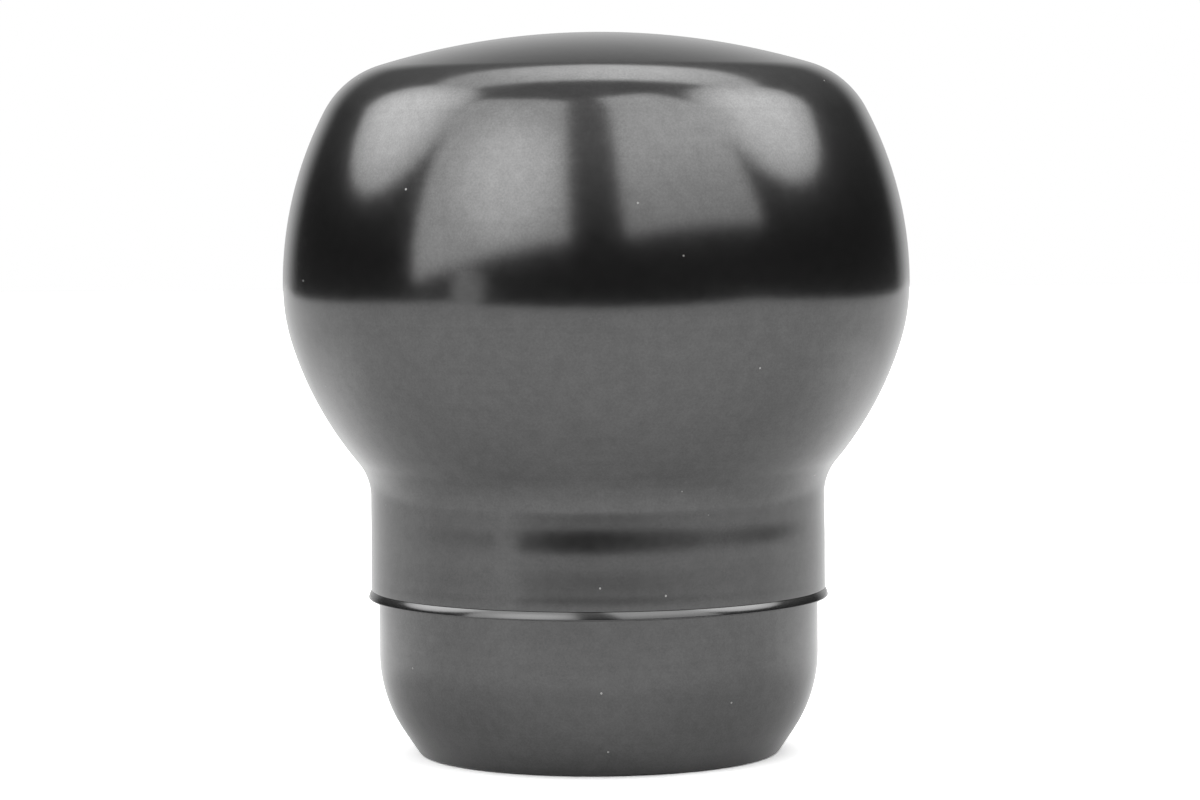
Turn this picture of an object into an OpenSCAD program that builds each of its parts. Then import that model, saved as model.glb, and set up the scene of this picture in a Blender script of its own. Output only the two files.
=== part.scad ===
// Gear shift knob: a turned head, a base collar screwed on below it, a rubber
// ring over the joint, and a threaded insert that takes the gear lever.
// Millimetres, +Z up, origin at the middle of the foot.

/* [Head] */
// Diameter of the belly, at its widest
belly_d = 50; // [44:0.5:56]
// Height of the crown's top above the widest place
upper_h = 20; // [17:0.25:26]
// Rise of the crown above the corner where it meets the belly
crown_rise = 3.45; // [2.5:0.05:5]
// How far that corner is set in from the widest place
shoulder_in = 5.05; // [3.5:0.05:7]
// Radius that rounds that corner
shoulder_r = 7.4; // [3:0.2:9]
// Radius of the outline just below the widest place
lower_r = 16; // [13:0.5:19]
// Angle that the outline turns through on that radius
lower_sweep = 18; // [10:1:24]
// Radius of the flank, from there to the neck
flank_r = 28; // [24:0.5:36]
// Radius of the hollow between flank and neck
fillet_r = 4.3; // [2.5:0.1:6]
// Diameter of the neck
neck_d = 36.4; // [32:0.2:40]
// Height of the neck's straight wall
neck_h = 7.25; // [3:0.25:14]
// Radius on the neck's lower edge
neck_edge_r = 0.2; // [0.1:0.05:0.4]

/* [Base collar] */
// How far the collar's wall is set in from the neck's
collar_step = 0.6; // [0.3:0.1:1]
// Height of the bowl, from the foot to the straight wall
bowl_h = 8.1; // [7:0.1:10]
// Radius of the bowl
bowl_r = 11.1; // [9:0.1:13]
// Angle that the bowl turns through above its straight flank
bowl_sweep = 34; // [20:1:36]
// Radius on the edge of the foot
foot_edge_r = 0.5; // [0.2:0.1:1]
// Thickness of the collar's floor
floor_t = 4; // [3:0.25:5]
// Diameter of the hole that the lever passes
lever_hole_d = 15; // [13:0.5:17]
// Chamfer round that hole
hole_chamfer = 0.8; // [0.4:0.1:1.2]

/* [Rubber ring] */
// Height of the middle of the ring above the foot
ring_z = 13; // [12:0.25:15]
// Diameter of the ring's cord
ring_cord = 1; // [0.8:0.05:1.4]
// Depth of the ring's seat in the collar's wall
seat_depth = 0.15; // [0.1:0.05:0.3]
// Depth to which the cord is pressed flat at its seats
ring_press = 0.03; // [0.02:0.01:0.06]

/* [Spigot joint] */
// Wall of the head's spigot at the corners of its pocket
spigot_wall = 1.6; // [1:0.1:3]
// Gap at the rim between collar and head, under the ring
joint_gap = 0.15; // [0.05:0.05:0.3]
// Clearance at the radius between spigot and collar
thread_clear = 0.1; // [0.05:0.05:0.2]
// Gap between the spigot's end and the collar's floor
spigot_gap = 0.5; // [0.3:0.1:1]
// Chamfer on both ends of the spigot joint
lead_chamfer = 0.6; // [0.3:0.1:1]
// Depth of the grooves where the spigot's threads end
runout_depth = 0.5; // [0.3:0.1:0.7]
// Height of those grooves
runout_h = 1.2; // [0.8:0.1:1.8]

/* [Threaded insert] */
// Diameter of the hole before its thread is cut, for a 12 mm fine thread
tap_d = 10.8; // [8.5:0.1:11.2]
// Chamfer at both ends of the thread
tap_chamfer = 0.8; // [0.4:0.1:1]
// Wall of the insert's barrel round that hole
barrel_wall = 2.1; // [1.2:0.1:3]
// Length of the barrel above its flange
barrel_len = 20; // [14:1:24]
// How far the hexagonal flange's flats stand out past the barrel
flange_lip = 1; // [0.5:0.1:2]
// Thickness of the flange
flange_t = 3; // [2:0.25:4]
// Clearance at the radius round the barrel and the flange
insert_clear = 0.05; // [0.03:0.01:0.1]
// Gap above the barrel's end
barrel_gap = 0.5; // [0.3:0.1:1]
// Depth of the tip hole above the insert
tip_depth = 8; // [4:0.5:10]
// Diameter of the tip hole
tip_d = 12.6; // [11.5:0.1:13.5]

/* [Hidden] */
$fn = 128;

// Largest angle between two points of an arc
arc_step = 3;
// Point angle of the drill that makes the tip hole
drill_angle = 118;
// Slope of the chamfer on the corners of the flange
hex_chamfer_angle = 30;
// Angle between the middle of a hexagon's flat and its corner
hex_half_angle = 30;
// How far a cut runs past the face that it starts from
over = 1;

// Radii of the neck and of the wall below it
neck_r = neck_d / 2;
collar_r = neck_r - collar_step;

// The ring sits on the collar's seat and touches the head's lower face
seat_r = collar_r - seat_depth;
ring_mid_r = seat_r - ring_press + ring_cord / 2;
head_face_z = ring_z + ring_cord / 2 - ring_press;
ledge_z = ring_z - ring_cord / 2 - ring_press;
rim_z = head_face_z - joint_gap;

// The collar's floor holds the flange up against the head's pocket
spigot_end_z = floor_t + spigot_gap;
flange_top_z = floor_t + flange_t;
barrel_top_z = flange_top_z + barrel_len;
socket_top_z = barrel_top_z + barrel_gap;

// Direction from the origin at an angle
function toward(angle) = [cos(angle), sin(angle)];

// Angle of a direction
function heading(v) = atan2(v[1], v[0]);

// Points along an arc. Its first point is left to the stretch before it.
function arc(centre, r, from, to) =
    let (n = max(1, ceil(abs(to - from) / arc_step)))
    [for (i = [1:n]) centre + r * toward(from + (to - from) * i / n)];

// Outermost point at two given distances from two centres
function meet(centre_a, dist_a, centre_b, dist_b) =
    let (
        v = centre_b - centre_a,
        d = norm(v),
        along = (dist_a * dist_a - dist_b * dist_b + d * d) / (2 * d),
        across = sqrt(dist_a * dist_a - along * along)
    )
    centre_a + (along * v + across * [-v[1], v[0]]) / d;

// Radius to the corners of a hexagon, from its width across flats
function corner_r(flats) = flats / 2 / cos(hex_half_angle);

// The insert grows out from its thread, and the spigot from the insert
tap_r = tap_d / 2;
barrel_r = tap_r + barrel_wall;
flange_flats = 2 * (barrel_r + flange_lip);
pocket_flats = flange_flats + 2 * insert_clear;
spigot_r = corner_r(pocket_flats) + spigot_wall;

// Centres of the head's arcs, from the neck up. Each arc runs into the next
// without a corner, and the widest place lies where the flank brings it.
belly_r = belly_d / 2;
neck_edge_c = [neck_r - neck_edge_r, head_face_z + neck_edge_r];
fillet_c = [neck_r + fillet_r, head_face_z + neck_h];
flank_x = belly_r - lower_r + (lower_r - flank_r) * cos(lower_sweep);
flank_rise = sqrt(pow(flank_r + fillet_r, 2) - pow(fillet_c[0] - flank_x, 2));
flank_c = [flank_x, fillet_c[1] + flank_rise];
lower_c = flank_c + (flank_r - lower_r) * toward(-lower_sweep);
belly_z = lower_c[1];
knob_h = belly_z + upper_h;

// Radii of the belly's upper arc and of the crown, which meet at a corner
corner_x = belly_r - shoulder_in;
corner_h = upper_h - crown_rise;
upper_r = (pow(corner_h, 2) + pow(shoulder_in, 2)) / (2 * shoulder_in);
crown_r = (pow(corner_x, 2) + pow(crown_rise, 2)) / (2 * crown_rise);
upper_c = [belly_r - upper_r, belly_z];
crown_c = [0, knob_h - crown_r];
shoulder_c = meet(upper_c, upper_r - shoulder_r, crown_c, crown_r - shoulder_r);

crown_end = heading(shoulder_c - crown_c);
shoulder_end = heading(shoulder_c - upper_c);
flank_end = heading(fillet_c - flank_c);

// Outline of the crown, belly and neck, from the top down
head_skin = concat(
    [[0, knob_h]],
    arc(crown_c, crown_r, 90, crown_end),
    arc(shoulder_c, shoulder_r, crown_end, shoulder_end),
    arc(upper_c, upper_r, shoulder_end, 0),
    arc(lower_c, lower_r, 0, -lower_sweep),
    arc(flank_c, flank_r, -lower_sweep, flank_end),
    arc(fillet_c, fillet_r, flank_end + 180, 180),
    [[neck_r, neck_edge_c[1]]],
    arc(neck_edge_c, neck_edge_r, 0, -90)
);

// Outline of the spigot below the neck, with the groove where its thread ends
runout_r = spigot_r - runout_depth;
spigot_side = [
    [runout_r, head_face_z],
    [runout_r, head_face_z - runout_h],
    [spigot_r, head_face_z - runout_h - runout_depth],
    [spigot_r, spigot_end_z + lead_chamfer],
    [spigot_r - lead_chamfer, spigot_end_z],
    [0, spigot_end_z]
];

// Centres of the collar's bowl and of the edge of its foot. A straight flank
// that leaves the bowl at bowl_sweep runs down to that edge.
bowl_c = [collar_r - bowl_r, bowl_h];
flank_offset = bowl_r + bowl_c[0] * cos(bowl_sweep) - bowl_c[1] * sin(bowl_sweep);
foot_edge_x = (flank_offset - foot_edge_r * (1 - sin(bowl_sweep))) / cos(bowl_sweep);
foot_edge_c = [foot_edge_x, foot_edge_r];

// Outline of the collar's outside, from the foot up to its rim
collar_skin = concat(
    [[foot_edge_x, 0]],
    arc(foot_edge_c, foot_edge_r, -90, -bowl_sweep),
    [bowl_c + bowl_r * toward(-bowl_sweep)],
    arc(bowl_c, bowl_r, -bowl_sweep, 0),
    [
        [collar_r, ledge_z],
        [seat_r, ledge_z],
        [seat_r, rim_z]
    ]
);

// Outline of the collar's threaded well and of the hole in its floor
well_r = spigot_r + thread_clear;
well_runout_r = well_r + runout_depth;
hole_r = lever_hole_d / 2;
collar_well = [
    [well_r + lead_chamfer, rim_z],
    [well_r, rim_z - lead_chamfer],
    [well_r, floor_t + runout_h + runout_depth],
    [well_runout_r, floor_t + runout_h],
    [well_runout_r, floor_t],
    [hole_r, floor_t],
    [hole_r, hole_chamfer],
    [hole_r + hole_chamfer, 0]
];

// Outline of the drilled holes in the head, up to the point of the drill
socket_r = barrel_r + insert_clear;
tip_r = tip_d / 2;
tip_top_z = socket_top_z + tip_depth;
socket_side = [
    [0, spigot_end_z - over],
    [socket_r, spigot_end_z - over],
    [socket_r, socket_top_z],
    [tip_r, socket_top_z],
    [tip_r, tip_top_z],
    [0, tip_top_z + tip_r / tan(drill_angle / 2)]
];

// Outline that takes the lower corners off the insert's flange
flange_r = corner_r(flange_flats);
hex_chamfer_h = (flange_r - flange_flats / 2) * tan(hex_chamfer_angle);
flange_side = [
    [0, floor_t],
    [flange_flats / 2, floor_t],
    [flange_r + over, floor_t + hex_chamfer_h + over * tan(hex_chamfer_angle)],
    [flange_r + over, flange_top_z],
    [0, flange_top_z]
];

// Outline of the insert's hole, wider at both ends
tap_side = [
    [0, floor_t - over],
    [tap_r + tap_chamfer, floor_t - over],
    [tap_r + tap_chamfer, floor_t],
    [tap_r, floor_t + tap_chamfer],
    [tap_r, barrel_top_z - tap_chamfer],
    [tap_r + tap_chamfer, barrel_top_z],
    [tap_r + tap_chamfer, barrel_top_z + over],
    [0, barrel_top_z + over]
];

// Upright hexagonal prism between two heights
module hex_prism(flats, low, high) {
    translate([0, 0, low])
        cylinder(h = high - low, r = corner_r(flats), $fn = 6);
}

// Turned head with a spigot, a hexagonal pocket and a blind socket below
module knob_head() {
    color("#3b3b3e")
        difference() {
            rotate_extrude() polygon(concat(head_skin, spigot_side));
            hex_prism(pocket_flats, spigot_end_z - over, flange_top_z);
            rotate_extrude() polygon(socket_side);
        }
}

// Bowl-shaped collar that is screwed onto the spigot and stands on its foot
module base_collar() {
    color("#3f3f42")
        rotate_extrude() polygon(concat(collar_skin, collar_well));
}

// Round rubber ring, pressed flat where it meets the collar and the head
module rubber_ring() {
    color("#141414")
        rotate_extrude()
            intersection() {
                translate([ring_mid_r, ring_z]) circle(d = ring_cord);
                translate([seat_r, ring_z - ring_cord])
                    square([2 * ring_cord, head_face_z - ring_z + ring_cord]);
            }
}

// Hexagonal-headed bush with the lever's thread right through it
module threaded_insert() {
    color("#b5974f")
        difference() {
            union() {
                intersection() {
                    hex_prism(flange_flats, floor_t, flange_top_z);
                    rotate_extrude() polygon(flange_side);
                }
                translate([0, 0, flange_top_z])
                    cylinder(h = barrel_len, r = barrel_r);
            }
            rotate_extrude() polygon(tap_side);
        }
}

knob_head();
base_collar();
rubber_ring();
threaded_insert();
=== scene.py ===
import math

import bmesh
import bpy
from bpy.props import FloatProperty, FloatVectorProperty, PointerProperty
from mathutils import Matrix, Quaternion, Vector


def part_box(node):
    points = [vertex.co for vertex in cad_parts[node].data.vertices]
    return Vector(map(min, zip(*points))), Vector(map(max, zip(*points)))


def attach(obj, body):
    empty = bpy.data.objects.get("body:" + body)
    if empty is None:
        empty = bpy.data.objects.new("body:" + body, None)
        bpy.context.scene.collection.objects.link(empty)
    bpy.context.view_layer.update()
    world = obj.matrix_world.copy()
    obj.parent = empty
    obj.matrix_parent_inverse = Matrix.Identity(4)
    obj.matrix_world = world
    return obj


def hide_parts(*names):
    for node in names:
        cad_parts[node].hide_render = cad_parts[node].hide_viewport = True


bl_info = {
    "name": "Gear shift knob",
    "version": (1, 0, 0),
    "blender": (4, 5, 0),
    "location": "View3D > Sidebar > Knob",
    "description": "Turned gear shift knob with its collar, ring, insert and studio",
    "category": "Object",
}

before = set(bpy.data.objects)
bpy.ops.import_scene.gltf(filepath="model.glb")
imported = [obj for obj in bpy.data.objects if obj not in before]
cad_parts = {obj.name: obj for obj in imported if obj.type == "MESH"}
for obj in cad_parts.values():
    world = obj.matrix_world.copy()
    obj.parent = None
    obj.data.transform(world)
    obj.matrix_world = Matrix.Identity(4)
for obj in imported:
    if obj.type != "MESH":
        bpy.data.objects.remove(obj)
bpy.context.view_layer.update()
HEAD_LOW, HEAD_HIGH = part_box("knob_head")
COLLAR_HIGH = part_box("base_collar")[1]
RING_LOW, RING_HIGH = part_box("rubber_ring")
INSERT_LOW, INSERT_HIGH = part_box("threaded_insert")

MM = 0.001
# Steps of a full turn. Six divides them, so that a hexagon's corners fall on steps.
HEAD_STEPS = 252
INSERT_STEPS = 144
# Largest angle between two points of an arc, in degrees
ARC_STEP = 1.2
CROWN_STEP = 0.6
BELLY_STEP = 0.9
FILLET_STEP = 2
FOOT_STEP = 5
EDGE_STEP = 9
# Distance between the rows of points up a straight wall
NECK_ROW = 0.2 * MM
WALL_ROW = 0.5 * MM
THREAD_ROW = 0.1 * MM
# An extra row this close to a wall's end keeps its shading straight up to the edge
EDGE_HOLD = 0.03 * MM
# The thread that joins head and collar, with its lead chamfer and the relief groove behind it
JOINT_PITCH = 1.0 * MM
JOINT_DEPTH = 0.3 * MM
JOINT_LEAD = 0.6 * MM
RELIEF_DEPTH = 0.5 * MM
RELIEF_WIDTH = 1.2 * MM
# Shares of a thread's half pitch: its flat crest and its flank
CREST_SHARE = 0.12
FLANK_SHARE = 0.7
# Length over which a thread runs out at its ends
RUN_OUT = 0.4 * MM
# Half of the point angle of the drill that made the tip hole
DRILL_HALF_ANGLE = math.radians(59)
# The neck's dip, in millimetres above the neck's seat: its low part has its full depth at the first height,
# its main part starts and is full at the next two, and all of it fades between the last two
DIP_LOW = 3.2
DIP_START = 3.9
DIP_FULL = 6.2
DIP_FADE = 7.0
DIP_END = 11.0
# Its low part is deepest this far to the left of the front
DIP_LOW_TURN = math.radians(8)
# How softly each part ends towards the back of the neck, and how far both reach past its sides, as cosines
DIP_SPREAD = 0.95
DIP_LOW_SPREAD = 0.7
DIP_PAST_SIDE = 0.1
# Ripples of the dip round the neck: share of its depth, waves and phase
DIP_RIPPLES = ((0.16, 7, 0.4), (0.08, 13, 1.1))
# Radii and heights closer than this are the same
NEAR = 1e-6
# Faces that meet at a larger angle than this keep a crisp edge
CRISP_ANGLE = math.radians(24)


def size(name, description, default):
    """A length that a user may change."""
    return FloatProperty(
        name=name, description=description, default=default, unit="LENGTH", subtype="DISTANCE", precision=5
    )


def plain(name, description, default):
    """A number without a unit that a user may change."""
    return FloatProperty(name=name, description=description, default=default, precision=4)


def angle(name, description, degrees):
    """An angle that a user may change."""
    return FloatProperty(name=name, description=description, default=math.radians(degrees), subtype="ANGLE")


def tint(name, description, default):
    """A colour that a user may change."""
    return FloatVectorProperty(
        name=name, description=description, default=default, size=3, subtype="COLOR", min=0, max=1
    )


class HeadSizes(bpy.types.PropertyGroup):
    belly_d: size("Belly diameter", "Diameter of the belly, at its widest", 2 * HEAD_HIGH.x)
    end_z: size("Spigot end", "Height of the spigot's lower end above the foot", HEAD_LOW.z)
    upper_h: size("Upper height", "Height of the crown's top above the widest place", 20 * MM)
    crown_rise: size("Crown rise", "Rise of the crown above its corner with the belly", 3.45 * MM)
    shoulder_in: size("Shoulder inset", "How far that corner is set in from the widest place", 5.05 * MM)
    shoulder_r: size("Shoulder radius", "Radius that rounds that corner", 7.4 * MM)
    lower_r: size("Lower radius", "Radius of the outline just below the widest place", 16 * MM)
    lower_sweep: plain("Lower sweep", "Degrees that the outline turns through on that radius", 18)
    flank_r: size("Flank radius", "Radius of the flank, from there to the neck", 28 * MM)
    fillet_r: size("Fillet radius", "Radius of the hollow between flank and neck", 4.3 * MM)
    neck_d: size("Neck diameter", "Diameter of the neck", 36.4 * MM)
    neck_h: size("Neck height", "Height of the neck's straight wall", 7.25 * MM)
    neck_edge_r: size("Neck edge", "Radius on the neck's lower edge", 0.06 * MM)
    skirt_h: size("Neck skirt", "How far the neck's edge reaches down over the ring", 0.28 * MM)
    skirt_t: size("Skirt wall", "Thickness of that edge", 0.27 * MM)
    neck_dip: size("Neck dip", "Depth of the slight dip that polishing left on the neck", 0.0525 * MM)
    neck_dip_low: size("Low neck dip", "Depth that the dip's front has close to the ring", 0.039 * MM)
    neck_dip_back: size("Neck dip behind", "Depth of that dip on the other side of the neck", 0.012 * MM)
    neck_dip_turn: angle("Neck dip turn", "Where the dip is deepest, from the front to the right", 25)
    spigot_r: size("Spigot radius", "Middle radius of the spigot's thread", 11.4727 * MM)
    pocket_flats: size("Pocket flats", "Width across the flats of the hexagonal pocket", 17.1 * MM)
    pocket_top: size("Pocket top", "Height of the pocket's end above the foot", 7 * MM)
    socket_r: size("Socket radius", "Radius of the socket round the insert's barrel", 7.55 * MM)
    socket_top: size("Socket top", "Height of the socket's end above the foot", 27.5 * MM)
    tip_r: size("Tip hole radius", "Radius of the tip hole above the insert", 6.3 * MM)
    tip_top: size("Tip hole top", "Height of the tip hole's straight wall above the foot", 35.5 * MM)


class CollarSizes(bpy.types.PropertyGroup):
    wall_r: size("Wall radius", "Radius of the collar's straight wall", COLLAR_HIGH.x)
    rim_z: size("Rim height", "Height of the collar's rim above the foot", COLLAR_HIGH.z)
    seat_r: size("Seat radius", "Radius of the ring's seat", 17.45 * MM)
    bowl_h: size("Bowl height", "Height of the bowl, from the foot to the straight wall", 8.1 * MM)
    bowl_r: size("Bowl radius", "Radius of the bowl", 11.1 * MM)
    bowl_sweep: plain("Bowl sweep", "Degrees that the bowl turns through above its straight flank", 34)
    foot_edge_r: size("Foot edge", "Radius on the edge of the foot", 0.5 * MM)
    ledge_edge_r: size("Ledge edge", "Radius on the edge of the ring's ledge", 0.06 * MM)
    floor_t: size("Floor", "Thickness of the collar's floor", INSERT_LOW.z)
    well_r: size("Well radius", "Middle radius of the well's thread", 11.5727 * MM)
    hole_d: size("Lever hole", "Diameter of the hole that the lever passes", 15 * MM)
    hole_chamfer: size("Hole chamfer", "Chamfer round that hole", 0.8 * MM)


class RingSizes(bpy.types.PropertyGroup):
    outer_r: size("Ring radius", "Outer radius of the ring", RING_HIGH.x)
    low_z: size("Ring underside", "Height of the ring's lower flat", RING_LOW.z)
    high_z: size("Ring top", "Height of the ring's upper flat", RING_HIGH.z)
    width: size("Ring width", "How far the ring reaches in from its outside", 0.97 * MM)
    shelf: size("Ring shelf", "How far its upper part is set in, behind the neck's edge", 0.55 * MM)
    lip_h: size("Lip height", "Height of its widest place above its underside", 0.13 * MM)
    lip_r: size("Lip radius", "Radius below its widest place", 0.09 * MM)
    slope_r: size("Slope radius", "Radius of the slope above its widest place", 1.35 * MM)
    slope_start: plain("Slope start", "Degrees that the slope faces upwards at its low end", 12)
    slope_end: plain("Slope end", "Degrees that the slope faces upwards at its high end", 38)


class InsertSizes(bpy.types.PropertyGroup):
    low_z: size("Flange underside", "Height of the flange's underside above the foot", INSERT_LOW.z)
    high_z: size("Barrel end", "Height of the barrel's end above the foot", INSERT_HIGH.z)
    flats: size("Flange flats", "Width across the flats of the flange", 2 * INSERT_HIGH.y)
    flange_t: size("Flange", "Thickness of the flange", 3 * MM)
    flange_chamfer: angle("Flange chamfer", "Angle of the chamfer on the flange's corners", 30)
    barrel_r: size("Barrel radius", "Radius of the barrel", 7.5 * MM)
    barrel_edge: size("Barrel edge", "Chamfer on the barrel's end", 0.2 * MM)
    thread_r: size("Thread inner radius", "Radius inside the lever's thread", 5.4 * MM)
    thread_depth: size("Thread depth", "Depth of the lever's thread", 0.62 * MM)
    thread_pitch: size("Thread pitch", "Rise of the lever's thread in one turn", 1.25 * MM)
    thread_lead: size("Thread lead", "Chamfer at both ends of the lever's thread", 0.8 * MM)


class FinishColours(bpy.types.PropertyGroup):
    head: tint("Head metal", "Dark anodised metal of the head", (0.147, 0.147, 0.147))
    collar: tint("Collar metal", "Dark anodised metal of the collar", (0.147, 0.147, 0.147))
    ring: tint("Ring", "Black ring over the joint", (0.012, 0.012, 0.012))
    insert: tint("Insert brass", "Brass of the threaded insert", (0.72, 0.55, 0.28))
    dust: tint("Dust", "Specks of dust on the metal", (0.55, 0.55, 0.54))
    metal_roughness: plain("Metal roughness", "Roughness of the dark metal", 0.165)
    ring_roughness: plain("Ring roughness", "Roughness of the ring", 0.16)
    line_depth: size("Turning lines", "Depth of the fine lines that the tool left", 0.00012 * MM)


class StudioSettings(bpy.types.PropertyGroup):
    camera_back: size("Camera distance", "Distance of the camera in front of the knob's axis", 350 * MM)
    camera_up: size("Camera height", "Height of the camera above the foot", 51.5 * MM)
    camera_pitch: angle("Camera pitch", "How far the camera looks down", 3.81)
    camera_roll: angle("Camera roll", "How far the camera is turned about its line of sight", -0.407)
    camera_lens: plain("Camera lens", "Focal length in millimetres", 131.4)
    camera_shift: plain("Camera shift", "Sideways shift of the view, in widths of the image", 0.00242)
    floor_front: size("Floor front", "How far the floor reaches in front of the axis", 263 * MM)
    floor_left: size("Floor left", "How far the floor reaches to the left", 400 * MM)
    floor_right: size("Floor right", "How far the floor reaches to the right", 400 * MM)
    floor_back: size("Floor back", "How far the floor reaches behind", 900 * MM)
    floor_colour: tint("Floor", "Pale floor", (0.66, 0.66, 0.66))
    right_azimuth: angle("Right box azimuth", "Direction of the right front light", 38.5)
    left_azimuth: angle("Left box azimuth", "Direction of the left front light", -38.5)
    right_power: plain("Right box", "Brightness of the right front light", 2.0)
    left_power: plain("Left box", "Brightness of the left front light", 1.75)
    hot_power: plain("Hot spot", "Extra brightness in the middle of the left front light", 0.95)
    side_power: plain("Side lights", "Brightness of the round side lights", 3.3)
    rear_power: plain("Rear light", "Brightness of the light above and behind", 2.6)
    glow_power: plain("Backdrop glow", "Brightness of the backdrop", 0.72)
    patch_power: plain("Low patch", "Brightness of the low light between the floor and the left box", 0.75)
    room: plain("Room", "Brightness of the dark room round the studio", 0.05)
    room_top: plain("Ceiling", "Brightness of the ceiling", 0.4)
    # Painted light: emission that brightens the floor close behind the knob, where no lamp is
    floor_painted_glow: plain("Floor glow", "Extra brightness of the floor close behind the knob", 0.34)
    floor_seen: plain("Floor seen", "Brightness of the floor to the camera alone, above its own", 2.2)


# Outlines, as points of (radius, height)


def toward(degrees):
    """Unit vector at an angle."""
    turn = math.radians(degrees)
    return Vector((math.cos(turn), math.sin(turn)))


def heading(v):
    """Angle of a direction, in degrees."""
    return math.degrees(math.atan2(v[1], v[0]))


def arc(centre, radius, start, end, step=ARC_STEP):
    """Points along an arc, without its first."""
    count = max(1, math.ceil(abs(end - start) / step - 1e-6))
    return [centre + radius * toward(start + (end - start) * i / count) for i in range(1, count + 1)]


def run(start, end, step):
    """Points along a straight wall, without its first."""
    start, end = Vector(start), Vector(end)
    count = max(1, math.ceil((end - start).length / step))
    return [start.lerp(end, i / count) for i in range(1, count + 1)]


def meet(centre_a, dist_a, centre_b, dist_b):
    """Outermost point at two given distances from two centres."""
    v = centre_b - centre_a
    d = v.length
    along = (dist_a**2 - dist_b**2 + d**2) / (2 * d)
    across = math.sqrt(dist_a**2 - along**2)
    return centre_a + (along * v + across * Vector((-v.y, v.x))) / d


def smooth(t):
    """Eased step from 0 to 1."""
    t = min(max(t, 0), 1)
    return t * t * (3 - 2 * t)


def head_skin(head, face_z):
    """Outline of the crown, belly and neck, from the top down."""
    belly_r, neck_r = head.belly_d / 2, head.neck_d / 2
    edge_r = head.neck_edge_r
    edge_c = Vector((neck_r - edge_r, face_z - head.skirt_h + edge_r))
    fillet_c = Vector((neck_r + head.fillet_r, face_z + head.neck_h))
    flank_x = belly_r - head.lower_r + (head.lower_r - head.flank_r) * toward(head.lower_sweep).x
    flank_rise = math.sqrt((head.flank_r + head.fillet_r) ** 2 - (fillet_c.x - flank_x) ** 2)
    flank_c = Vector((flank_x, fillet_c.y + flank_rise))
    lower_c = flank_c + (head.flank_r - head.lower_r) * toward(-head.lower_sweep)
    top_z = lower_c.y + head.upper_h
    corner_x = belly_r - head.shoulder_in
    corner_h = head.upper_h - head.crown_rise
    upper_r = (corner_h**2 + head.shoulder_in**2) / (2 * head.shoulder_in)
    crown_r = (corner_x**2 + head.crown_rise**2) / (2 * head.crown_rise)
    upper_c = Vector((belly_r - upper_r, lower_c.y))
    crown_c = Vector((0, top_z - crown_r))
    shoulder_c = meet(upper_c, upper_r - head.shoulder_r, crown_c, crown_r - head.shoulder_r)
    crown_end = heading(shoulder_c - crown_c)
    shoulder_end = heading(shoulder_c - upper_c)
    flank_end = heading(fillet_c - flank_c)
    return (
        [Vector((0, top_z))]
        + arc(crown_c, crown_r, 90, crown_end, CROWN_STEP)
        + arc(shoulder_c, head.shoulder_r, crown_end, shoulder_end)
        + arc(upper_c, upper_r, shoulder_end, 0, BELLY_STEP)
        + arc(lower_c, head.lower_r, 0, -head.lower_sweep)
        + arc(flank_c, head.flank_r, -head.lower_sweep, flank_end, BELLY_STEP)
        + arc(fillet_c, head.fillet_r, flank_end + 180, 180, FILLET_STEP)
        + run((neck_r, fillet_c.y), (neck_r, edge_c.y + EDGE_HOLD), NECK_ROW)
        + [Vector((neck_r, edge_c.y))]
        + arc(edge_c, edge_r, 0, -90, EDGE_STEP)
        + [Vector((neck_r - head.skirt_t, edge_c.y - edge_r)), Vector((neck_r - head.skirt_t, face_z))]
    )


def spigot_side(head, face_z):
    """Outline of the threaded spigot below the neck."""
    groove_r = head.spigot_r - RELIEF_DEPTH
    thread_top = face_z - RELIEF_WIDTH - RELIEF_DEPTH
    return (
        [
            Vector((groove_r, face_z)),
            Vector((groove_r, face_z - RELIEF_WIDTH)),
            Vector((head.spigot_r, thread_top)),
        ]
        + run((head.spigot_r, thread_top), (head.spigot_r, head.end_z + JOINT_LEAD), THREAD_ROW)
        + [Vector((head.spigot_r - JOINT_LEAD, head.end_z))]
    )


def pocket_side(head):
    """Outline of the hexagonal pocket, the socket and the tip hole, up to the axis."""
    corner = head.pocket_flats / math.sqrt(3)
    cone_h = head.tip_r / math.tan(DRILL_HALF_ANGLE)
    return [
        Vector((corner, head.end_z)),
        Vector((corner, head.pocket_top)),
        Vector((head.socket_r, head.pocket_top)),
        Vector((head.socket_r, head.socket_top)),
        Vector((head.tip_r, head.socket_top)),
        Vector((head.tip_r, head.tip_top)),
        Vector((0, head.tip_top + cone_h)),
    ]


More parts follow.
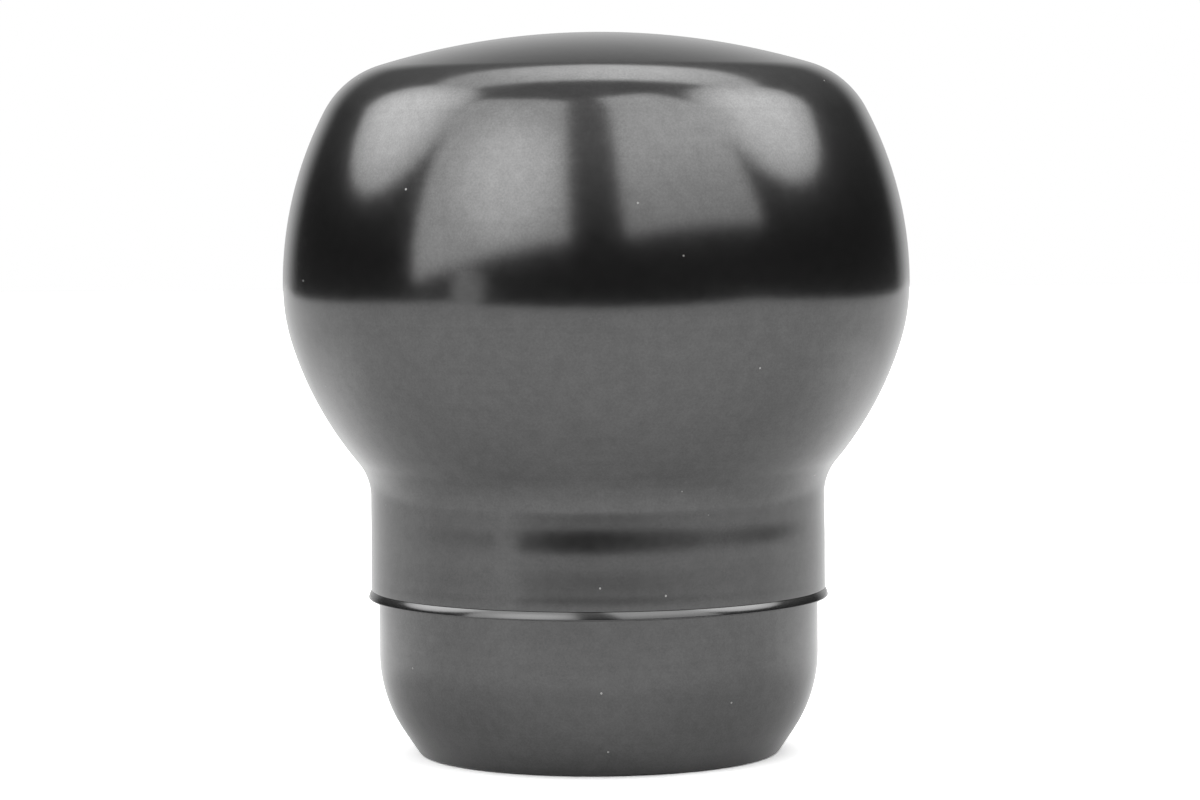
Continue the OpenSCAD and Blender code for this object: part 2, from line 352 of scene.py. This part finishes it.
def collar_outline(collar, ledge_z):
    """Closed outline of the collar, from the foot's edge up the outside and down the well."""
    wall, sweep, edge_r = collar.wall_r, collar.bowl_sweep, collar.foot_edge_r
    bowl_c = Vector((wall - collar.bowl_r, collar.bowl_h))
    lean = toward(sweep)
    flank = collar.bowl_r + bowl_c.x * lean.x - bowl_c.y * lean.y
    foot_c = Vector(((flank - edge_r * (1 - lean.y)) / lean.x, edge_r))
    ledge_edge = collar.ledge_edge_r
    well, rim = collar.well_r, collar.rim_z
    thread_low = collar.floor_t + RELIEF_WIDTH + RELIEF_DEPTH
    hole_r = collar.hole_d / 2
    return (
        [Vector((foot_c.x, 0))]
        + arc(foot_c, edge_r, -90, -sweep, FOOT_STEP)
        + [bowl_c + collar.bowl_r * toward(-sweep)]
        + arc(bowl_c, collar.bowl_r, -sweep, 0)
        + run((wall, collar.bowl_h), (wall, ledge_z - ledge_edge - EDGE_HOLD), WALL_ROW)
        + [Vector((wall, ledge_z - ledge_edge))]
        + arc(Vector((wall - ledge_edge, ledge_z - ledge_edge)), ledge_edge, 0, 90, EDGE_STEP)
        + [
            Vector((collar.seat_r, ledge_z)),
            Vector((collar.seat_r, rim)),
            Vector((well + JOINT_LEAD, rim)),
            Vector((well, rim - JOINT_LEAD)),
        ]
        + run((well, rim - JOINT_LEAD), (well, thread_low), THREAD_ROW)
        + [
            Vector((well + RELIEF_DEPTH, thread_low - RELIEF_DEPTH)),
            Vector((well + RELIEF_DEPTH, collar.floor_t)),
            Vector((hole_r, collar.floor_t)),
            Vector((hole_r, collar.hole_chamfer)),
            Vector((hole_r + collar.hole_chamfer, 0)),
        ]
    )


def ring_outline(ring):
    """Closed outline of the ring: seated on the collar, with a lip that slopes up to the neck's edge."""
    outer, low, high = ring.outer_r, ring.low_z, ring.high_z
    seat_r, shelf_r = outer - ring.width, outer - ring.shelf
    start, end = ring.slope_start, ring.slope_end
    lip = Vector((outer, low + ring.lip_h))
    lip_c = lip - ring.lip_r * toward(start)
    slope_c = lip - ring.slope_r * toward(start)
    crest = slope_c + ring.slope_r * toward(end)
    under = start - 96
    flat, curl, curl_rise = 0.1 * MM, 0.3 * MM, 0.02 * MM
    rise, bevel, back = 0.01 * MM, 0.03 * MM, 0.05 * MM
    return (
        [
            Vector((seat_r, low)),
            Vector((seat_r + flat, low)),
            Vector((seat_r + curl, low + curl_rise)),
            lip_c + ring.lip_r * toward(under),
        ]
        + arc(lip_c, ring.lip_r, under, start, EDGE_STEP)
        + arc(slope_c, ring.slope_r, start, end, FILLET_STEP)
        + [
            crest + Vector((-bevel, rise)),
            Vector((shelf_r, crest.y + rise)),
            Vector((shelf_r, high - bevel)),
            Vector((shelf_r - back, high)),
            Vector((seat_r, high)),
        ]
    )


def insert_outline(insert):
    """Closed outline of the insert, from the flange's underside up the outside and down the bore."""
    low, high, bore = insert.low_z, insert.high_z, insert.thread_r
    corner = insert.flats / math.sqrt(3)
    chamfer_h = (corner - insert.flats / 2) * math.tan(insert.flange_chamfer)
    lead, edge = insert.thread_lead, insert.barrel_edge
    return (
        [
            Vector((insert.flats / 2, low)),
            Vector((corner, low + chamfer_h)),
            Vector((corner, low + insert.flange_t)),
            Vector((insert.barrel_r, low + insert.flange_t)),
            Vector((insert.barrel_r, high - edge)),
            Vector((insert.barrel_r - edge, high)),
            Vector((bore + lead, high)),
        ]
        + run((bore + lead, high), (bore, high - lead), THREAD_ROW)
        + run((bore, high - lead), (bore, low + lead), THREAD_ROW)
        + run((bore, low + lead), (bore + lead, low), THREAD_ROW)
    )


# Turning and reshaping


def turned(outline, steps, closed=False):
    """Solid turned from its outline of (radius, height) points."""
    bm = bmesh.new()
    points = [bm.verts.new((p.x, 0, p.y)) for p in outline]
    edges = [bm.edges.new(pair) for pair in zip(points, points[1:])]
    if closed:
        edges.append(bm.edges.new((points[-1], points[0])))
    bmesh.ops.spin(
        bm,
        geom=points + edges,
        cent=(0, 0, 0),
        axis=(0, 0, 1),
        dvec=(0, 0, 0),
        angle=2 * math.pi,
        steps=steps,
        use_merge=True,
    )
    bmesh.ops.remove_doubles(bm, verts=bm.verts[:], dist=1e-7)
    bmesh.ops.recalc_face_normals(bm, faces=bm.faces[:])
    return bm


def reshape(bm, rule):
    """Moves each point in or out to the radius that the rule gives for its radius, angle and height."""
    for v in bm.verts:
        radius = math.hypot(v.co.x, v.co.y)
        if radius < 1e-9:
            continue
        turn = math.atan2(v.co.y, v.co.x)
        grow = rule(radius, turn, v.co.z) / radius
        v.co.x *= grow
        v.co.y *= grow


def hexagon(flats, turn):
    """Radius of a hexagon with a corner on +X."""
    sixth = math.pi / 3
    return flats / 2 / math.cos(turn % sixth - sixth / 2)


def facing_share(turn, spread):
    """1 on the side that faces a direction, easing to 0 behind it."""
    return smooth((math.cos(turn) + DIP_PAST_SIDE) / spread)


def neck_dip(head, facing, height):
    """Depth of the neck's slight dip, in one direction and at a height above the neck's seat."""
    height = height / MM
    front = facing_share(facing + DIP_LOW_TURN, DIP_LOW_SPREAD) * smooth(height / DIP_LOW)
    right = facing_share(facing - head.neck_dip_turn, DIP_SPREAD)
    right *= smooth((height - DIP_START) / (DIP_FULL - DIP_START))
    right *= 1 + sum(share * math.cos(waves * facing + phase) for share, waves, phase in DIP_RIPPLES)
    depth = head.neck_dip_back + head.neck_dip_low * front + head.neck_dip * right
    gone = 1 - smooth((height - DIP_FADE) / (DIP_END - DIP_FADE))
    return depth * gone * smooth(height + 0.1)


def thread_wave(turn, z, pitch):
    """Height of a right-hand thread's outline, from 0 at its crest to 1 at its root."""
    phase = (z / pitch - turn / (2 * math.pi)) % 1
    return min(max((abs(2 * phase - 1) - CREST_SHARE) / FLANK_SHARE, 0), 1)


def fade(z, low, high, length):
    """1 between two heights, running out to 0 at both."""
    return smooth((z - low) / length) * smooth((high - z) / length)


def finish_piece(bm, name, nodes, material):
    """Makes the piece from its mesh, in place of its CAD node."""
    for face in bm.faces:
        face.smooth = True
    for edge in bm.edges:
        edge.smooth = len(edge.link_faces) < 2 or edge.calc_face_angle(0) < CRISP_ANGLE
    mesh = bpy.data.meshes.new(name)
    bm.to_mesh(mesh)
    bm.free()
    mesh.materials.append(material)
    piece = bpy.data.objects.new(name, mesh)
    bpy.context.scene.collection.objects.link(piece)
    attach(piece, "root")
    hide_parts(*nodes)


# Finishes


class Shade:
    """One output of a shader node, so that maths on it reads as an expression."""

    def __init__(self, tree, socket=None):
        self.tree = tree
        self.socket = socket

    def add(self, kind, settings=None, sockets=None, output=0):
        """Adds a node of any type: its settings first, then the values or links of its sockets."""
        node = self.tree.nodes.new(kind)
        for name, value in (settings or {}).items():
            setattr(node, name, value)
        for key, value in (sockets or {}).items():
            if isinstance(value, Shade):
                self.tree.links.new(value.socket, node.inputs[key])
            else:
                node.inputs[key].default_value = value
        return Shade(self.tree, node.outputs[output])

    def maths(self, operation, *values):
        return self.add("ShaderNodeMath", {"operation": operation}, dict(enumerate(values)))

    def __add__(self, other):
        return self.maths("ADD", self, other)

    __radd__ = __add__

    def __sub__(self, other):
        return self.maths("SUBTRACT", self, other)

    def __rsub__(self, other):
        return self.maths("SUBTRACT", other, self)

    def __mul__(self, other):
        return self.maths("MULTIPLY", self, other)

    __rmul__ = __mul__

    def __truediv__(self, other):
        return self.maths("DIVIDE", self, other)

    def __pow__(self, other):
        return self.maths("POWER", self, other)

    def split(self):
        """The three numbers of a vector."""
        first = self.add("ShaderNodeSeparateXYZ", sockets={0: self})
        return [Shade(self.tree, socket) for socket in first.socket.node.outputs]

    def rise(self, low, high, start=0.0, end=1.0):
        """Eased step from start to end as this value goes from low to high."""
        return self.add(
            "ShaderNodeMapRange",
            {"interpolation_type": "SMOOTHSTEP"},
            {"Value": self, "From Min": low, "From Max": high, "To Min": start, "To Max": end},
        )

    def blend(self, low, high):
        """Colour between two others, by this value."""
        return self.add("ShaderNodeMix", {"data_type": "RGBA"}, {0: self, 6: low, 7: high}, 2)


def new_material(name, colour):
    """Material with one main shader, and the start of its net of nodes."""
    material = bpy.data.materials.new(name)
    material.use_nodes = True
    material.diffuse_color = (*colour, 1)
    shader = material.node_tree.nodes["Principled BSDF"]
    return material, shader, Shade(material.node_tree)


def rgba(colour, share=1.0):
    """Colour with its alpha, made lighter or darker by a share."""
    return (*[min(c * share, 1) for c in colour], 1)


def link(shade, shader, name):
    """Feeds one of the main shader's sockets."""
    shade.tree.links.new(shade.socket, shader.inputs[name])


def noise(place, scale, detail, roughness=0.5, dimensions="3D"):
    """Noise with so many features to the metre."""
    sockets = {"Vector": place, "Scale": scale, "Detail": detail, "Roughness": roughness}
    return place.add("ShaderNodeTexNoise", {"noise_dimensions": dimensions}, sockets)


def bumps(height, distance):
    """Normal that gives the surface fine relief."""
    return height.add("ShaderNodeBump", None, {"Strength": 1.0, "Distance": distance, "Height": height})


# Layers of turning lines: lines to the metre and share
LINE_LAYERS = ((2200.0, 0.9), (6500.0, 0.6), (14000.0, 0.45))
# Features to the metre of the dark metal's tone, and of the other finishes
CLOUDS, MOTTLE, GRAIN, DUST = 180.0, 950.0, 6500.0, 330.0
RING_GRAIN, TARNISH = 2400.0, 260.0
# How much lighter or darker the dark metal's tone may be
TONE_RANGE = 0.18
# Relief of the ring's grain and of the brass insert's lines
RING_RELIEF = 0.0004 * MM
BRASS_RELIEF = 0.0006 * MM


def turning_lines(coords):
    """Height of the fine lines that a lathe tool leaves, from the distance to the axis and the height."""
    x, y, z = coords.split()
    place = coords.add("ShaderNodeCombineXYZ", sockets={0: (x * x + y * y) ** 0.5, 1: z})
    layers = [noise(place, scale, 1.0, dimensions="2D") * share for scale, share in LINE_LAYERS]
    return layers[0] + layers[1] + layers[2]


def dark_metal(name, colour, colours):
    """Dark anodised metal with fine turning lines, faint mottling and a few specks of dust."""
    material, shader, net = new_material(name, colour)
    shader.inputs["Metallic"].default_value = 1.0
    coords = net.add("ShaderNodeTexCoord", output="Object")
    lines = turning_lines(coords)
    mottle = noise(coords, MOTTLE, 3.0, 0.6)
    grain = noise(coords, GRAIN, 1.0)
    cells = coords.add("ShaderNodeTexVoronoi", None, {"Vector": coords, "Scale": DUST}, "Distance")
    dust = cells.rise(0.034, 0.02)
    tone = (lines * 0.06 + noise(coords, CLOUDS, 2.0) * 0.12 + mottle * 0.36 + grain * 0.4).rise(0.2, 0.8)
    base = tone.blend(rgba(colour, 1 - TONE_RANGE), rgba(colour, 1 + TONE_RANGE))
    link(dust.blend(base, rgba(colours.dust)), shader, "Base Color")
    link(colours.metal_roughness * (0.9 + mottle * 0.2) + dust * 0.4, shader, "Roughness")
    link(bumps(lines * 0.5 + grain, colours.line_depth), shader, "Normal")
    return material


def black_ring(colours):
    """Smooth black ring with a faint grain."""
    material, shader, net = new_material("ring_black", colours.ring)
    coords = net.add("ShaderNodeTexCoord", output="Object")
    grain = noise(coords, RING_GRAIN, 2.0)
    link(grain.blend(rgba(colours.ring, 0.8), rgba(colours.ring, 1.3)), shader, "Base Color")
    link(colours.ring_roughness * (0.85 + grain * 0.3), shader, "Roughness")
    shader.inputs["IOR"].default_value = 2.1
    link(bumps(grain, RING_RELIEF), shader, "Normal")
    return material


def turned_brass(colours):
    """Machined brass with turning lines and a little tarnish."""
    material, shader, net = new_material("insert_brass_turned", colours.insert)
    shader.inputs["Metallic"].default_value = 1.0
    coords = net.add("ShaderNodeTexCoord", output="Object")
    lines = turning_lines(coords)
    tarnish = noise(coords, TARNISH, 4.0)
    base = tarnish.rise(0.35, 0.7).blend(rgba(colours.insert, 0.8), rgba(colours.insert))
    link(base, shader, "Base Color")
    link(0.22 + lines * 0.06 + tarnish * 0.1, shader, "Roughness")
    link(bumps(lines, BRASS_RELIEF), shader, "Normal")
    return material


# Studio

# The two upright box lights on a plane at unit distance: half width, lower and upper edge, how far they lean,
# slope of their edges, softness of these, and the share of brightness at the lower edge
RIGHT_BOX = {"half": 0.515, "low": 0.31, "high": 3.6, "lean": 0.05, "slope": 0.0, "soft": 0.02, "dim": 0.58}
LEFT_BOX = {"half": 0.59, "low": 0.16, "high": 2.35, "lean": 0.11, "slope": 0.25, "soft": 0.03, "dim": 0.85}
# Round lights, in degrees: direction, radius and softness, and the share of brightness at the edge
HOT_SPOT = {"azimuth": -37, "elevation": 32, "spread": 12, "soft": 12}
LEFT_DISC = {"azimuth": -104, "elevation": 40, "spread": 22.5, "soft": 1.5, "dim": 0.56}
RIGHT_DISC = {"azimuth": 93, "elevation": 44.5, "spread": 22.5, "soft": 1.5, "dim": 0.6}
LOW_PATCH = {"azimuth": -47, "elevation": -1, "spread": 6, "soft": 3}
# The floor lies this far below the foot, so that the two never share a plane
FLOOR_GAP = 0.02 * MM
# Height over which a box light gets brighter from its lower edge upwards
BOX_FADE = 0.75
# The floor's painted glow, emitted light standing in for lighting, starts and is full at these two places
# behind the axis, and fades between the two distances from it to a share of its brightness
GLOW_START, GLOW_FULL = -0.02, 0.04
GLOW_NEAR, GLOW_FAR, GLOW_REST = 0.07, 0.15, 0.25


def window(value, low, high, soft):
    """1 between two values, with soft edges."""
    return value.rise(low - soft, low + soft) * value.rise(high + soft, high - soft)


def box_light(ray, azimuth, half, low, high, lean, slope, soft, dim):
    """Brightness of an upright flat light seen along a ray."""
    x, y, z = ray
    forward = x * math.sin(azimuth) - y * math.cos(azimuth)
    forward = forward.maths("MAXIMUM", forward, 0.001)
    across = (x * math.cos(azimuth) + y * math.sin(azimuth)) / forward
    up = z / forward
    u = across + up * lean
    v = up - across * slope
    return window(u, -half, half, soft) * window(v, low, high, soft) * v.rise(low, low + BOX_FADE, dim, 1.0)


def disc_light(ray, azimuth, elevation, spread, soft, dim=1.0):
    """Brightness of a round light seen along a ray, dimmer towards its edge."""
    x, y, z = ray
    a, e = math.radians(azimuth), math.radians(elevation)
    along = x * (math.cos(e) * math.sin(a)) - y * (math.cos(e) * math.cos(a)) + z * math.sin(e)
    edge = along.rise(math.cos(math.radians(spread + soft)), math.cos(math.radians(spread - soft)))
    return edge * along.rise(math.cos(math.radians(spread)), 1.0, dim, 1.0)


def brightest(lights):
    """The brightest of several lights."""
    total = lights[0]
    for light in lights[1:]:
        total = total.maths("MAXIMUM", total, light)
    return total


def rear_light(ray):
    """Brightness of the wide light above and behind the knob, as it lies on a ceiling at unit height."""
    x, y, z = ray
    over = z.maths("MAXIMUM", z, 0.001)
    aside, behind = x / over, y / over
    shape = window(aside, -0.8, 0.8, 0.04) * behind.rise(0.14, 0.22)
    shape = shape * (behind + 0.8 * aside.maths("ABSOLUTE", aside)).rise(1.1, 1.0)
    fall_left, fall_right = aside.rise(-0.45, 0.1, 0.62, 1.0), aside.rise(0.55, 0.1, 0.78, 1.0)
    return shape * fall_left * fall_right * behind.rise(1.1, 0.4, 0.72, 1.0)


def backdrop_glow(ray):
    """Brightness of the lit backdrop behind the knob, brightest low down."""
    x, y, z = ray
    low = y.rise(0.75, 0.95) * z.rise(0.6, 0.1)
    high = y.rise(0.35, 0.6) * window(x, -0.22, 0.22, 0.12) * z.rise(0.95, 0.05)
    return brightest([low, high])


def paint_room(studio, world):
    """Lights and surroundings of the studio, painted by direction. The camera itself sees plain white."""
    net = Shade(world.node_tree)
    ray = net.add("ShaderNodeTexCoord", output="Generated").split()
    right = box_light(ray, studio.right_azimuth, **RIGHT_BOX)
    left = box_light(ray, studio.left_azimuth, **LEFT_BOX)
    total = brightest(
        [
            ray[2].rise(0.1, 0.95, studio.room, studio.room_top),
            right * studio.right_power,
            left * (studio.left_power + disc_light(ray, **HOT_SPOT) * studio.hot_power),
            disc_light(ray, **LEFT_DISC) * studio.side_power,
            disc_light(ray, **RIGHT_DISC) * studio.side_power,
            rear_light(ray) * studio.rear_power,
            backdrop_glow(ray) * studio.glow_power,
            disc_light(ray, **LOW_PATCH) * studio.patch_power,
        ]
    )
    seen = net.add("ShaderNodeLightPath", output="Is Camera Ray")
    background = world.node_tree.nodes["Background"]
    background.inputs["Color"].default_value = (1, 1, 1, 1)
    link(total * (1 - seen) + seen, background, "Strength")


def lay_floor(studio):
    """Flat pale floor that ends in front of the knob, with a painted glow of emitted light close behind it.
    """
    bm = bmesh.new()
    bmesh.ops.create_grid(bm, x_segments=1, y_segments=1, size=0.5)
    left, right, front, back = studio.floor_left, studio.floor_right, studio.floor_front, studio.floor_back
    bmesh.ops.scale(bm, vec=(left + right, front + back, 1), verts=bm.verts)
    middle = ((right - left) / 2, (back - front) / 2, -FLOOR_GAP)
    bmesh.ops.translate(bm, vec=middle, verts=bm.verts)
    mesh = bpy.data.meshes.new("studio_floor")
    bm.to_mesh(mesh)
    bm.free()
    material, shader, net = new_material("floor_pale", studio.floor_colour)
    coords = net.add("ShaderNodeTexCoord", output="Object")
    pale = noise(coords, 6.0, 2.0).blend(rgba(studio.floor_colour, 0.99), rgba(studio.floor_colour, 1.01))
    lit = (*[c * studio.floor_seen for c in studio.floor_colour], 1)
    seen = net.add("ShaderNodeLightPath", output="Is Camera Ray")
    link(seen.blend(pale, lit), shader, "Base Color")
    across, away = coords.split()[:2]
    distance = (across * across + away * away) ** 0.5
    # Painted light: the floor emits a glow close behind the knob, fading with distance from it
    glow = away.rise(GLOW_START, GLOW_FULL) * distance.rise(GLOW_NEAR, GLOW_FAR, 1.0, GLOW_REST)
    link(glow * studio.floor_painted_glow, shader, "Emission Color")
    shader.inputs["Emission Strength"].default_value = 1.0
    shader.inputs["Roughness"].default_value = 0.9
    shader.inputs["IOR"].default_value = 1.05
    mesh.materials.append(material)
    sheet = bpy.data.objects.new("studio_floor", mesh)
    bpy.context.scene.collection.objects.link(sheet)


def set_camera(studio):
    """Camera at the photograph's place and angle."""
    data = bpy.data.cameras.new("studio_camera")
    data.sensor_width = 36
    data.lens = studio.camera_lens
    data.shift_x = studio.camera_shift
    data.clip_start = 0.01
    data.clip_end = 20
    camera = bpy.data.objects.new("studio_camera", data)
    camera.location = (0, -studio.camera_back, studio.camera_up)
    down = Quaternion((1, 0, 0), math.pi / 2 - studio.camera_pitch)
    camera.rotation_mode = "QUATERNION"
    camera.rotation_quaternion = down @ Quaternion((0, 0, 1), studio.camera_roll)
    bpy.context.scene.collection.objects.link(camera)
    bpy.context.scene.camera = camera


# Operators


class KNOB_OT_head(bpy.types.Operator):
    """Turns the head: crown, belly, neck and threaded spigot, with the insert's pocket inside"""

    bl_idname = "knob.head"
    bl_label = "Head"

    def execute(self, context):
        head, colours = context.scene.knob_head, context.scene.knob_colours
        face_z = context.scene.knob_ring.high_z
        bm = turned(head_skin(head, face_z) + spigot_side(head, face_z) + pocket_side(head), HEAD_STEPS)
        corner = head.pocket_flats / math.sqrt(3)
        neck_r = head.neck_d / 2
        thread_low = head.end_z + JOINT_LEAD - NEAR
        thread_high = face_z - RELIEF_WIDTH - RELIEF_DEPTH + NEAR

        def rule(radius, turn, z):
            if abs(radius - corner) < NEAR and z < head.pocket_top + NEAR:
                return hexagon(head.pocket_flats, turn)
            if abs(radius - head.spigot_r) < NEAR:
                run_out = fade(z, thread_low, thread_high, RUN_OUT)
                return radius - JOINT_DEPTH * thread_wave(turn, z, JOINT_PITCH) * run_out
            if radius > neck_r - NEAR and face_z < z < face_z + DIP_END * MM:
                return radius - neck_dip(head, turn + math.pi / 2, z - face_z)
            return radius

        reshape(bm, rule)
        material = dark_metal("head_dark_metal", colours.head, colours)
        finish_piece(bm, "head_turned", ["knob_head"], material)
        return {"FINISHED"}


class KNOB_OT_collar(bpy.types.Operator):
    """Turns the bowl-shaped collar with its threaded well and the lever's hole"""

    bl_idname = "knob.collar"
    bl_label = "Collar"

    def execute(self, context):
        collar, colours = context.scene.knob_collar, context.scene.knob_colours
        bm = turned(collar_outline(collar, context.scene.knob_ring.low_z), HEAD_STEPS, closed=True)
        thread_low = collar.floor_t + RELIEF_WIDTH + RELIEF_DEPTH - NEAR
        thread_high = collar.rim_z - JOINT_LEAD + NEAR

        def rule(radius, turn, z):
            if abs(radius - collar.well_r) < NEAR:
                run_out = fade(z, thread_low, thread_high, RUN_OUT)
                return radius - JOINT_DEPTH * thread_wave(turn, z, JOINT_PITCH) * run_out
            return radius

        reshape(bm, rule)
        material = dark_metal("collar_dark_metal", colours.collar, colours)
        finish_piece(bm, "collar_turned", ["base_collar"], material)
        return {"FINISHED"}


class KNOB_OT_ring(bpy.types.Operator):
    """Makes the thin black ring over the joint"""

    bl_idname = "knob.ring"
    bl_label = "Ring"

    def execute(self, context):
        bm = turned(ring_outline(context.scene.knob_ring), HEAD_STEPS, closed=True)
        material = black_ring(context.scene.knob_colours)
        finish_piece(bm, "joint_ring", ["rubber_ring"], material)
        return {"FINISHED"}


class KNOB_OT_insert(bpy.types.Operator):
    """Turns the brass insert with its hexagonal flange and the lever's thread"""

    bl_idname = "knob.insert"
    bl_label = "Insert"

    def execute(self, context):
        insert = context.scene.knob_insert
        bm = turned(insert_outline(insert), INSERT_STEPS, closed=True)
        corner = insert.flats / math.sqrt(3)
        bore = insert.thread_r

        def rule(radius, turn, z):
            if abs(radius - corner) < NEAR:
                return hexagon(insert.flats, turn)
            if radius < bore + insert.thread_depth:
                cut = bore + insert.thread_depth * (1 - thread_wave(turn, z, insert.thread_pitch))
                return max(radius, cut)
            return radius

        reshape(bm, rule)
        material = turned_brass(context.scene.knob_colours)
        finish_piece(bm, "insert_turned", ["threaded_insert"], material)
        return {"FINISHED"}


class KNOB_OT_studio(bpy.types.Operator):
    """Sets the floor, the light and the camera"""

    bl_idname = "knob.studio"
    bl_label = "Studio"

    def execute(self, context):
        studio = context.scene.knob_studio
        world = bpy.data.worlds.new("studio_room")
        world.use_nodes = True
        context.scene.world = world
        paint_room(studio, world)
        lay_floor(studio)
        set_camera(studio)
        context.scene.view_settings.view_transform = "Standard"
        return {"FINISHED"}


OPERATORS = (KNOB_OT_head, KNOB_OT_collar, KNOB_OT_ring, KNOB_OT_insert, KNOB_OT_studio)
GROUPS = {
    "knob_head": HeadSizes,
    "knob_collar": CollarSizes,
    "knob_ring": RingSizes,
    "knob_insert": InsertSizes,
    "knob_colours": FinishColours,
    "knob_studio": StudioSettings,
}


class KNOB_PT_panel(bpy.types.Panel):
    """Lists the pieces and the studio"""

    bl_label = "Gear shift knob"
    bl_idname = "KNOB_PT_panel"
    bl_space_type = "VIEW_3D"
    bl_region_type = "UI"
    bl_category = "Knob"

    def draw(self, context):
        for operator in OPERATORS:
            self.layout.operator(operator.bl_idname)
        for name, group in GROUPS.items():
            box = self.layout.box()
            for prop in group.__annotations__:
                box.prop(getattr(context.scene, name), prop)


def register():
    for cls in (*GROUPS.values(), *OPERATORS, KNOB_PT_panel):
        bpy.utils.register_class(cls)
    for name, group in GROUPS.items():
        setattr(bpy.types.Scene, name, PointerProperty(type=group))


def unregister():
    for name in GROUPS:
        delattr(bpy.types.Scene, name)
    for cls in reversed((*GROUPS.values(), *OPERATORS, KNOB_PT_panel)):
        bpy.utils.unregister_class(cls)


def main():
    register()
    bpy.ops.knob.head()
    bpy.ops.knob.collar()
    bpy.ops.knob.ring()
    bpy.ops.knob.insert()
    bpy.ops.knob.studio()


if __name__ == "__main__":
    main()
